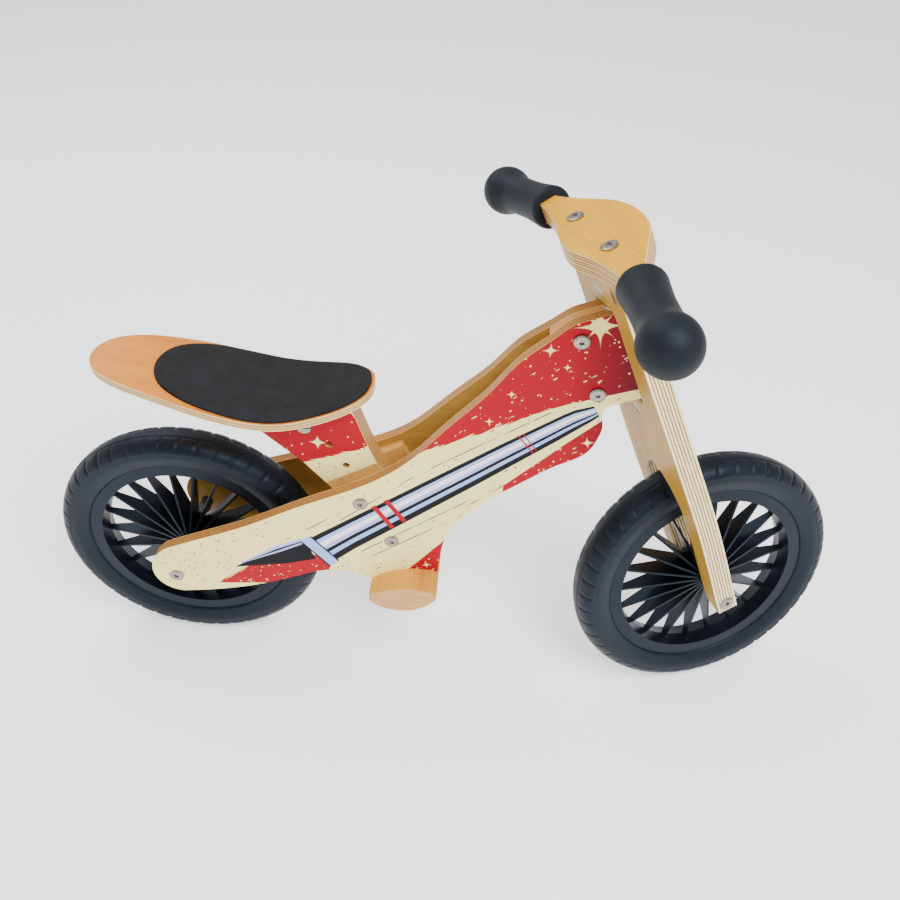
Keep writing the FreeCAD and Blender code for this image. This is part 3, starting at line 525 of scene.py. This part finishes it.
bar_wood = Finish("lacquered beech bar", 0.42, Specular_IOR_Level=0.2)
long_grain = veneer(bar_wood, Y_AXIS, X_AXIS, Z_AXIS, rgb(224, 162, 64), rgb(192, 126, 40))
ring_place = bar_wood.stretched((X_AXIS, (0.0, 0.02, 1.0), Y_AXIS), (34.0, 3.4, 400.0))
year_rings = bar_wood.math("MULTIPLY", bar_wood.noise(ring_place, 3.0, 0.6), 0.7)
pores = bar_wood.noise(bar_wood.mm, 2.0, 0.6, 1.6)
end_tone = bar_wood.math("MULTIPLY_ADD", pores, 0.35, year_rings)
end_grain = bar_wood.ramp(end_tone, [(0.34, rgb(186, 136, 78)), (0.64, rgb(218, 170, 106))])
bar_wood.colour(bar_wood.mix(bar_wood.turned_to(Y_AXIS, 0.75, 0.05), long_grain, end_grain))
screw_ways = [((x, side * y, 0.12), Z_AXIS, 0.0055)
              for side in (-1, 1) for x, y in FOOTREST_SCREWS]
footrest = eased("footrest_bar", FOOTREST_EDGE_ROUND, screw_ways)
dress(footrest, bar_wood)


# ---- Seat board ----------------------------------------------------------------------
# An 8 mm ply shell, bent in a press to the dish of the seat and lacquered.  One sunk
# bolt and two screws under the pad hold it to the post.

SEAT_THICK = 8.0
SEAT_EDGE_ROUND = 0.0013
SEAT_BOLT_CLEAR = 0.0115
SEAT_PROFILE = [(-68, 386), (-3, 377.3), (57, 363), (117, 352.3), (177, 361.5), (214, 371)]


def smooth_line(points, samples=120):
    """Natural cubic through the points, as a list of finely spaced points."""
    n = len(points) - 1
    chord = [math.dist(points[k], points[k + 1]) for k in range(n)]
    t_at = [0.0]
    for c in chord:
        t_at.append(t_at[-1] + c)
    tables = []
    for axis in (0, 1):
        values = [q[axis] for q in points]
        second = [0.0] * (n + 1)
        upper = [0.0] * (n + 1)
        carry = [0.0] * (n + 1)
        for k in range(1, n):
            pivot = 2.0 * (t_at[k + 1] - t_at[k - 1]) - chord[k - 1] * upper[k - 1]
            upper[k] = chord[k] / pivot
            slope_change = 6.0 * ((values[k + 1] - values[k]) / chord[k]
                                  - (values[k] - values[k - 1]) / chord[k - 1])
            carry[k] = (slope_change - chord[k - 1] * carry[k - 1]) / pivot
        for k in range(n - 1, 0, -1):
            second[k] = carry[k] - upper[k] * second[k + 1]
        tables.append((values, second))
    line = []
    for step in range(samples + 1):
        at = t_at[-1] * step / samples
        k = max(j for j in range(n) if t_at[j] <= at + 1e-9)
        h = chord[k]
        a = (t_at[k + 1] - at) / h
        c = (at - t_at[k]) / h
        spot = []
        for values, second in tables:
            spot.append(a * values[k] + c * values[k + 1]
                        + ((a ** 3 - a) * second[k] + (c ** 3 - c) * second[k + 1])
                        * h * h / 6.0)
        line.append(tuple(spot))
    return line


seat_line = smooth_line(SEAT_PROFILE)


def seat_height(x):
    """Top of the seat board at x, both in millimetres."""
    for a, c in zip(seat_line[:-1], seat_line[1:]):
        if x <= c[0]:
            return a[1] + (c[1] - a[1]) * (x - a[0]) / (c[0] - a[0])
    return seat_line[-1][1]


def on_curve(x, z):
    """Place in the finish's curve, which spans 300 mm along and 60 mm up."""
    return ((x + 80.0) / 300.0, (z - 340.0) / 60.0)


shell = Finish("bent seat ply", 0.34, Specular_IOR_Level=0.25)
seat_top = veneer(shell, X_AXIS, Y_AXIS, Z_AXIS, rgb(222, 138, 40), rgb(196, 108, 26))
seat_curve = shell.node("ShaderNodeFloatCurve", {
    "Value": shell.math("MULTIPLY_ADD", shell.along(X_AXIS), 1 / 300.0, 80 / 300.0)})
seat_map = seat_curve.mapping.curves[0]
seat_map.points[0].location = on_curve(*seat_line[0])
seat_map.points[1].location = on_curve(*seat_line[-1])
for k in range(12, 120, 12):
    seat_map.points.new(*on_curve(*seat_line[k]))
seat_curve.mapping.update()
seat_level = shell.math("MULTIPLY_ADD", seat_curve.outputs["Value"], 60.0, 340.0)
seat_depth = shell.math("SUBTRACT", seat_level, shell.along(Z_AXIS))
seat_edge = plies(shell, seat_depth, SEAT_THICK, 5, rgb(246, 218, 154), rgb(214, 176, 108),
                  rgb(146, 104, 54), (X_AXIS, Y_AXIS, Z_AXIS))
shell.colour(shell.mix(shell.turned_to(Z_AXIS, 0.70), seat_edge, seat_top))
seat_bores = [((hole_x, 0.0, 0.0), Z_AXIS, SEAT_BOLT_CLEAR) for hole_x in SEAT_BOLT_X]
seat = eased("seat_board", SEAT_EDGE_ROUND, seat_bores)
dress(seat, shell)


# ---- Seat pad ------------------------------------------------------------------------
# A sheet of foam under a tight charcoal cloth, glued to the board.  Its rim is pressed
# down to the wood and the middle stands a little proud.

PAD_THICK = 3.5
PAD_CENTRE = (108.0, 0.0)
PAD_LEFT = [(-3.2, 0), (-1, 14), (3.5, 24), (10, 32), (19, 38.8), (32, 45), (45, 48.8),
            (58, 51), (83, 53), (105, 52.3), (125, 50.3), (146, 46.3), (160, 42.8),
            (172, 39.3), (182, 35.3), (190.5, 30.3), (198, 23.8), (203.8, 15.5), (206.6, 0)]


def smooth_loop(points, steps):
    """Closed rounded line through the points."""
    line = []
    for k in range(len(points)):
        before, start, end, after = [points[(k + j) % len(points)] for j in (-1, 0, 1, 2)]
        for step in range(steps):
            u = step / steps
            spot = []
            for p0, p1, p2, p3 in zip(before, start, end, after):
                spot.append(0.5 * (2 * p1 + (p2 - p0) * u
                                   + (2 * p0 - 5 * p1 + 4 * p2 - p3) * u * u
                                   + (3 * p1 - p0 - 3 * p2 + p3) * u ** 3))
            line.append(tuple(spot))
    return line


def closed_piece(name, points, faces, sharp, body, node):
    """Smooth closed mesh that moves with a body in place of a plain CAD node."""
    mesh = bpy.data.meshes.new(name)
    mesh.from_pydata(points, [], faces)
    work = bmesh.new()
    work.from_mesh(mesh)
    bmesh.ops.recalc_face_normals(work, faces=work.faces)
    work.to_mesh(mesh)
    work.free()
    for face in mesh.polygons:
        face.use_smooth = True
    mesh.set_sharp_from_angle(angle=math.radians(sharp))
    made = bpy.data.objects.new(name, mesh)
    bpy.context.scene.collection.objects.link(made)
    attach(made, body)
    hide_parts(node)
    return made


# each step is a share of the outline and a share of the thickness, from the rim inwards
PAD_STEPS = [(1.0, 0.0), (1.0, 0.62), (0.996, 0.84), (0.988, 0.97), (0.975, 1.02),
             (0.92, 1.05), (0.8, 1.0), (0.65, 1.0), (0.5, 1.0), (0.35, 1.0), (0.2, 1.0),
             (0.08, 1.0)]
pad_rim = smooth_loop(PAD_LEFT + [(px, -py) for px, py in reversed(PAD_LEFT[1:-1])], 6)
around = len(pad_rim)
pad_points = []
for share, height in PAD_STEPS:
    for px, py in pad_rim:
        qx = PAD_CENTRE[0] + (px - PAD_CENTRE[0]) * share
        qy = PAD_CENTRE[1] + (py - PAD_CENTRE[1]) * share
        pad_points.append(Vector((qx, qy, seat_height(qx) + PAD_THICK * height)) / 1000.0)
middle_low = seat_height(PAD_CENTRE[0])
for level in (middle_low + PAD_THICK, middle_low):
    pad_points.append(Vector((PAD_CENTRE[0], PAD_CENTRE[1], level)) / 1000.0)
last = (len(PAD_STEPS) - 1) * around
centre_top = last + around
centre_low = centre_top + 1
pad_faces = []
for row in range(0, last, around):
    for k in range(around):
        beside = (k + 1) % around
        pad_faces.append((row + k, row + beside, row + around + beside, row + around + k))
for k in range(around):
    beside = (k + 1) % around
    pad_faces.append((last + k, last + beside, centre_top))
    pad_faces.append((beside, k, centre_low))

cloth = Finish("charcoal cloth", 0.85, Specular_IOR_Level=0.22)
weave_u = cloth.math("SINE", cloth.math("MULTIPLY", cloth.along((0.7, 0.7, 0.0)), 7.0))
weave_v = cloth.math("SINE", cloth.math("MULTIPLY", cloth.along((0.7, -0.7, 0.0)), 7.0))
weave = cloth.math("MULTIPLY", weave_u, weave_v)
cloth_tone = cloth.math("MULTIPLY_ADD", weave, 0.10, cloth.noise(cloth.mm, 3.0, 0.6, 0.05))
cloth.colour(cloth.ramp(cloth_tone, [(0.3, rgb(24, 25, 27)), (0.7, rgb(33, 34, 37))]))
cloth.bump(weave, 0.0002, 0.6)
pad = closed_piece("seat_pad_cloth", pad_points, pad_faces, 60, "frame", "seat_pad")
dress(pad, cloth)


# ---- Fork ----------------------------------------------------------------------------
# A single 21 mm ply plate with two legs below and a window above.  The head of the frame
# sits in the window and the fork turns around it on two pivot bolts.

FRONT_TURNED = 20.0
FORK_THICK = 21.0
FORK_TOP = 408.0             # along the fork from the front axle
FORK_EDGE_ROUND = 0.0016
BAR_BOLT_ASIDE = 37.0
BAR_NUT_UP = 384.0
PIVOT_NUTS_UP = (374.0, 238.0)
NUT_CLEAR = 0.0085

turn = (Matrix.Rotation(-lean_angle, 3, "Y")
        @ Matrix.Rotation(math.radians(FRONT_TURNED), 3, "Z"))
front_axle = Vector((WHEELBASE, 0.0, AXLE_HEIGHT))
ahead = turn @ Vector(X_AXIS)
aside = turn @ Vector(Y_AXIS)
upward = turn @ Vector(Z_AXIS)


def front_place(aside_mm, up_mm):
    """A point in the middle of the fork plate, from the front axle."""
    return front_axle + (aside * aside_mm + upward * up_mm) / 1000.0


fork_ply = Finish("lacquered birch fork", 0.42, Specular_IOR_Level=0.15)
# Olive birch, darker than the handlebar cut from the same ply: the olive tone is the wood's
# own, the extra darkness is painted shade on the fork's rear face.
shaded_fork_veneer = veneer(fork_ply, upward, aside, ahead, rgb(182, 140, 52), rgb(152, 112, 34))
fork_depth = fork_ply.math("ADD", fork_ply.along(ahead),
                           FORK_THICK / 2.0 - ahead.dot(front_axle) * 1000.0)
fork_edge = plies(fork_ply, fork_depth, FORK_THICK, 7, rgb(255, 244, 196),
                  rgb(250, 228, 168), rgb(132, 86, 36), (upward, ahead, aside), 0.52)
fork_ply.colour(fork_ply.mix(fork_ply.turned_to(ahead, 0.78), fork_edge, shaded_fork_veneer))
fork_bores = [(front_axle, aside, BOLT_CLEAR), (front_axle, upward, 0.0078)]
for up_mm in PIVOT_NUTS_UP:
    fork_bores.append((front_place(0.0, up_mm), ahead, NUT_CLEAR))
for aside_mm in (BAR_BOLT_ASIDE, -BAR_BOLT_ASIDE):
    nut = front_place(aside_mm, BAR_NUT_UP)
    fork_bores.append((nut, ahead, NUT_CLEAR))
    fork_bores.append((nut, upward, 0.0045))
fork = eased("fork_plate", FORK_EDGE_ROUND, fork_bores)
dress(fork, fork_ply)


# ---- Handlebar -----------------------------------------------------------------------
# A bow-shaped piece of the same ply laid across the top of the fork and bolted down
# into barrel nuts.  Its ends are cut narrow and pushed into the grips.

BAR_THICK = 21.0
BAR_EDGE_ROUND = 0.0022

bar_ply = Finish("lacquered birch handlebar", 0.36, Specular_IOR_Level=0.14)
bar_face = veneer(bar_ply, aside, ahead, upward, rgb(226, 166, 28), rgb(204, 142, 20))
bar_depth = bar_ply.math("ADD", bar_ply.along(upward),
                         -FORK_TOP - upward.dot(front_axle) * 1000.0)
bar_edge = plies(bar_ply, bar_depth, BAR_THICK, 7, rgb(238, 194, 108), rgb(212, 160, 80),
                 rgb(92, 52, 18), (aside, upward, ahead), 0.52)
bar_ply.colour(bar_ply.mix(bar_ply.turned_to(upward, 0.78), bar_edge, bar_face))
bar_bores = [(front_place(aside_mm, FORK_TOP), upward, 0.0052)
             for aside_mm in (BAR_BOLT_ASIDE, -BAR_BOLT_ASIDE)]
handlebar = eased("handlebar_plate", BAR_EDGE_ROUND, bar_bores)
dress(handlebar, bar_ply)


# ---- Grips ---------------------------------------------------------------------------
# Soft black rubber, moulded in one with the ball that keeps a small hand from slipping
# off.  Pressed over the ends of the handlebar.

# The blue specular tint is a painted reflection: it turns the white highlights blue, as if a
# blue sky were mirrored.
rubber = Finish("soft black rubber", 0.6, Specular_IOR_Level=0.3,
                Specular_Tint=(0.62, 0.80, 1.0, 1.0))
worn = rubber.noise(rubber.mm, 2.0, 0.6, 0.06)
rubber.colour(rubber.ramp(worn, [(0.35, rgb(11, 12, 13)), (0.7, rgb(18, 19, 21))]))
rubber.bump(rubber.noise(rubber.mm, 2.0, 0.6, 0.9), 0.0003, 0.35)
for side in ("left", "right"):
    dress(frame["nodes"][side + "_grip"], rubber)


# ---- Rims ----------------------------------------------------------------------------
# Each wheel is one moulding of near-black plastic: a channel rim, a hub and 22 deep thin
# blades for spokes.

# The blue specular tint is a painted reflection: it turns the white highlights blue, as if a
# blue sky were mirrored.
plastic = Finish("black moulded plastic", 0.36, Specular_IOR_Level=0.26,
                 Specular_Tint=(0.46, 0.70, 1.0, 1.0))
flow = plastic.noise(plastic.mm, 2.0, 0.5, 0.03)
plastic.colour(plastic.ramp(flow, [(0.35, rgb(8, 9, 13)), (0.7, rgb(12, 14, 20))]))
plastic.bump(plastic.noise(plastic.mm, 2.0, 0.5, 1.4), 0.00008, 0.3)
for wheel in ("rear", "front"):
    dress(frame["nodes"][wheel + "_wheel_rim"], plastic)


# ---- Tyres ---------------------------------------------------------------------------
# Solid foam rings stretched into the rims.  The shoulders are moulded in shallow blocks
# and the crown has a plain centre rib.

BEAD_HALF_W = 11.4           # the bead that sits in the rim
BEAD_TOP_R = 111.1
BEAD_FOOT_R = 98.2
TYRE_CORE_R = 127.0          # middle of the foam's section
TYRE_SECTION = [(-15.0, 111.6), (-16.9, 113.6), (-18.9, 118.0), (-20.3, 122.6),
                (-20.8, 127.0), (-20.2, 131.8), (-18.6, 136.0), (-15.9, 139.6),
                (-12.2, 142.2), (-6.4, 144.3), (0.0, 145.0)]
TYRE_SECTION += [(-w, radius) for w, radius in reversed(TYRE_SECTION[:-1])]
BLOCKS = 46
GROOVE_DEPTH = 1.0
RIB_DEPTH = 0.7              # line between the centre rib and the blocks
WALL_DEPTH = 0.7             # the side wall is this much below the blocks


def swell(share):
    """0 to 1 with soft ends."""
    return share * share * (3.0 - 2.0 * share)


def plateau(value, start, start_run, end, end_run):
    """1 between start and end, falling to 0 over each run."""
    return min(1.0, max(0.0, (value - start) / start_run),
               max(0.0, (end - value) / end_run))


def tread_depth(turned, reach, side):
    """How far the tread is cut in; turned is in blocks, reach is 0 at the crown and 1 at
    the rim, and side sets one shoulder's blocks half a block ahead of the other's."""
    phase = (turned + side + 0.35 * reach) % 1.0
    gap = max(0.0, 1.0 - abs(phase - 0.5) / 0.15)
    groove = GROOVE_DEPTH * plateau(reach, 0.13, 0.05, 0.56, 0.10) * swell(gap)
    rib = RIB_DEPTH * swell(max(0.0, 1.0 - abs(reach - 0.13) / 0.035))
    wall = WALL_DEPTH * plateau(reach, 0.52, 0.05, 0.97, 0.06)
    return max(groove, rib, wall)


def tyre_ring(around, section_steps):
    """Tyre about the Y axis through the origin, in metres, cut with shallow grooves."""
    path = smooth_line(TYRE_SECTION, section_steps)
    middle = len(path) // 2
    section = path + [(BEAD_HALF_W, BEAD_TOP_R), (BEAD_HALF_W, BEAD_FOOT_R),
                      (-BEAD_HALF_W, BEAD_FOOT_R), (-BEAD_HALF_W, BEAD_TOP_R)]
    rows = len(section)
    ring_points = []
    ring_faces = []
    for step in range(around):
        angle = 2.0 * math.pi * step / around
        after = (step + 1) % around
        for index, (w, radius) in enumerate(section):
            depth = 0.0
            if index < len(path):
                side = 0.0 if index < middle else 0.5
                depth = tread_depth(step * BLOCKS / around, abs(index - middle) / middle,
                                    side)
            left = 1.0 - depth / (math.hypot(w, radius - TYRE_CORE_R) or 1.0)
            r_cut = TYRE_CORE_R + (radius - TYRE_CORE_R) * left
            ring_points.append(Vector((r_cut * math.sin(angle), w * left,
                                       r_cut * math.cos(angle))) / 1000.0)
            beside = (index + 1) % rows
            ring_faces.append((step * rows + index, step * rows + beside,
                               after * rows + beside, after * rows + index))
    return ring_points, ring_faces


# The blue specular tint is a painted reflection: it turns the white highlights blue, as if a
# blue sky were mirrored.
foam = Finish("solid foam", 0.5, Specular_IOR_Level=0.28,
              Specular_Tint=(0.50, 0.72, 1.0, 1.0))
mottle = foam.noise(foam.mm, 3.0, 0.6, 0.035)
foam.colour(foam.ramp(mottle, [(0.35, rgb(11, 12, 14)), (0.68, rgb(20, 21, 26))]))
foam.bump(foam.noise(foam.mm, 3.0, 0.6, 0.55), 0.0004, 0.45)
foam.link(foam.math("MULTIPLY_ADD", mottle, 0.35, 0.30), "Roughness")
tyre_points, tyre_faces = tyre_ring(BLOCKS * 14, 84)
rear_axle = Vector((0.0, 0.0, AXLE_HEIGHT))
for wheel, axle, turned_by in (("rear", rear_axle, Matrix.Identity(3)),
                               ("front", front_axle, turn)):
    placed = [turned_by @ q + axle for q in tyre_points]
    tyre = closed_piece(wheel + "_tyre_foam", placed, tyre_faces, 50, wheel + "_wheel",
                        wheel + "_tyre")
    dress(tyre, foam)


# ---- Bushes and spacers --------------------------------------------------------------
# White-grey plain bushes in the hubs and the head, and dark plastic sleeves that keep
# the wheels in the middle.

nylon = Finish("pale nylon", 0.5)
nylon.colour(nylon.ramp(nylon.noise(nylon.mm, 2.0, 0.5, 0.3),
                        [(0.3, rgb(196, 194, 186)), (0.7, rgb(214, 212, 204))]))
for name in ("head_bushes", "rear_wheel_bushes", "front_wheel_bushes"):
    dress(frame["nodes"][name], nylon)
black_nylon = Finish("dark nylon", 0.45)
black_nylon.colour(black_nylon.ramp(black_nylon.noise(black_nylon.mm, 2.0, 0.5, 0.3),
                                    [(0.3, rgb(28, 29, 33)), (0.7, rgb(40, 42, 46))]))
for name in ("rear_axle_spacers", "front_axle_spacers"):
    dress(frame["nodes"][name], black_nylon)


# ---- Bolts and nuts ------------------------------------------------------------------
# Zinc-plated furniture bolts with flat heads and hex sockets, sleeve nuts on the other
# side, barrel nuts in the fork and seat post, and small wood screws.

zinc = Finish("zinc-plated steel", 0.32, Metallic=1.0)
plating = zinc.noise(zinc.mm, 3.0, 0.6, 0.5)
zinc.colour(zinc.ramp(plating, [(0.35, rgb(128, 124, 116)), (0.65, rgb(166, 161, 152))]))
zinc.link(zinc.math("MULTIPLY_ADD", plating, 0.3, 0.18), "Roughness")
for name in ("seat_post_clamp_bolts", "seat_post_sleeve_nuts", "head_clamp_bolts",
             "head_sleeve_nuts", "rear_axle_bolt", "rear_axle_nut", "front_axle_bolt",
             "front_axle_nut", "handlebar_bolts", "handlebar_barrel_nuts",
             "upper_pivot_bolt", "lower_pivot_bolt", "pivot_barrel_nuts",
             "upper_pivot_washer", "seat_bolt", "seat_barrel_nut", "seat_screws",
             "footrest_screws"):
    dress(frame["nodes"][name], zinc)


# ---- Floor, light and camera ---------------------------------------------------------
# A plain white floor that glows a little, an even pale sky, and two large soft lamps
# from above.  The camera looks down on the bike's right side.

FLOOR_REACH = 60.0
corners = [(x * FLOOR_REACH, y * FLOOR_REACH, 0.0)
           for x, y in ((-1, -1), (1, -1), (1, 1), (-1, 1))]
floor_mesh = bpy.data.meshes.new("floor")
floor_mesh.from_pydata(corners, [], [(0, 1, 2, 3)])
floor = bpy.data.objects.new("floor", floor_mesh)
bpy.context.scene.collection.objects.link(floor)
white_floor = Finish("pale floor", 0.9, Specular_IOR_Level=0.1,
                     Base_Color=rgb(250, 250, 250), Emission_Color=rgb(250, 251, 255),
                     Emission_Strength=0.7)
floor_mesh.materials.append(white_floor.material)

studio = bpy.data.worlds.new("studio")
studio.use_nodes = True
backdrop = studio.node_tree.nodes["Background"]
backdrop.inputs["Color"].default_value = (1.0, 1.0, 1.0, 1.0)
backdrop.inputs["Strength"].default_value = 0.80
bpy.context.scene.world = studio

LAMP_TARGET = Vector((0.3, 0.0, 0.2))


def lamp(name, place, size, power):
    """Round soft lamp in metres and watts, aimed at the middle of the bike."""
    data = bpy.data.lights.new(name, "AREA")
    data.shape = "DISK"
    data.size = size
    data.energy = power
    light = bpy.data.objects.new(name, data)
    light.location = place
    light.rotation_mode = "QUATERNION"
    light.rotation_quaternion = (LAMP_TARGET - Vector(place)).to_track_quat("-Z", "Y")
    bpy.context.scene.collection.objects.link(light)


lamp("window", (1.0, -1.1, 2.2), 1.3, 74.0)
lamp("room", (-0.9, 1.0, 2.1), 1.6, 30.0)

camera_data = bpy.data.cameras.new("camera")
camera_data.sensor_width = 36.0
camera_data.lens = 36.376
camera_data.shift_x = 0.00728
camera_data.shift_y = -0.0716
camera = bpy.data.objects.new("camera", camera_data)
right = Vector((0.99694, 0.07586, 0.01887))
down = Vector((0.06045, -0.59493, -0.80150))
forward = Vector((-0.04958, 0.80019, -0.59770))
pose = Matrix((right, -down, -forward)).transposed().to_4x4()
pose.translation = Vector((0.31938, -0.69807, 0.89236))
camera.matrix_world = pose
bpy.context.scene.collection.objects.link(camera)
bpy.context.scene.camera = camera
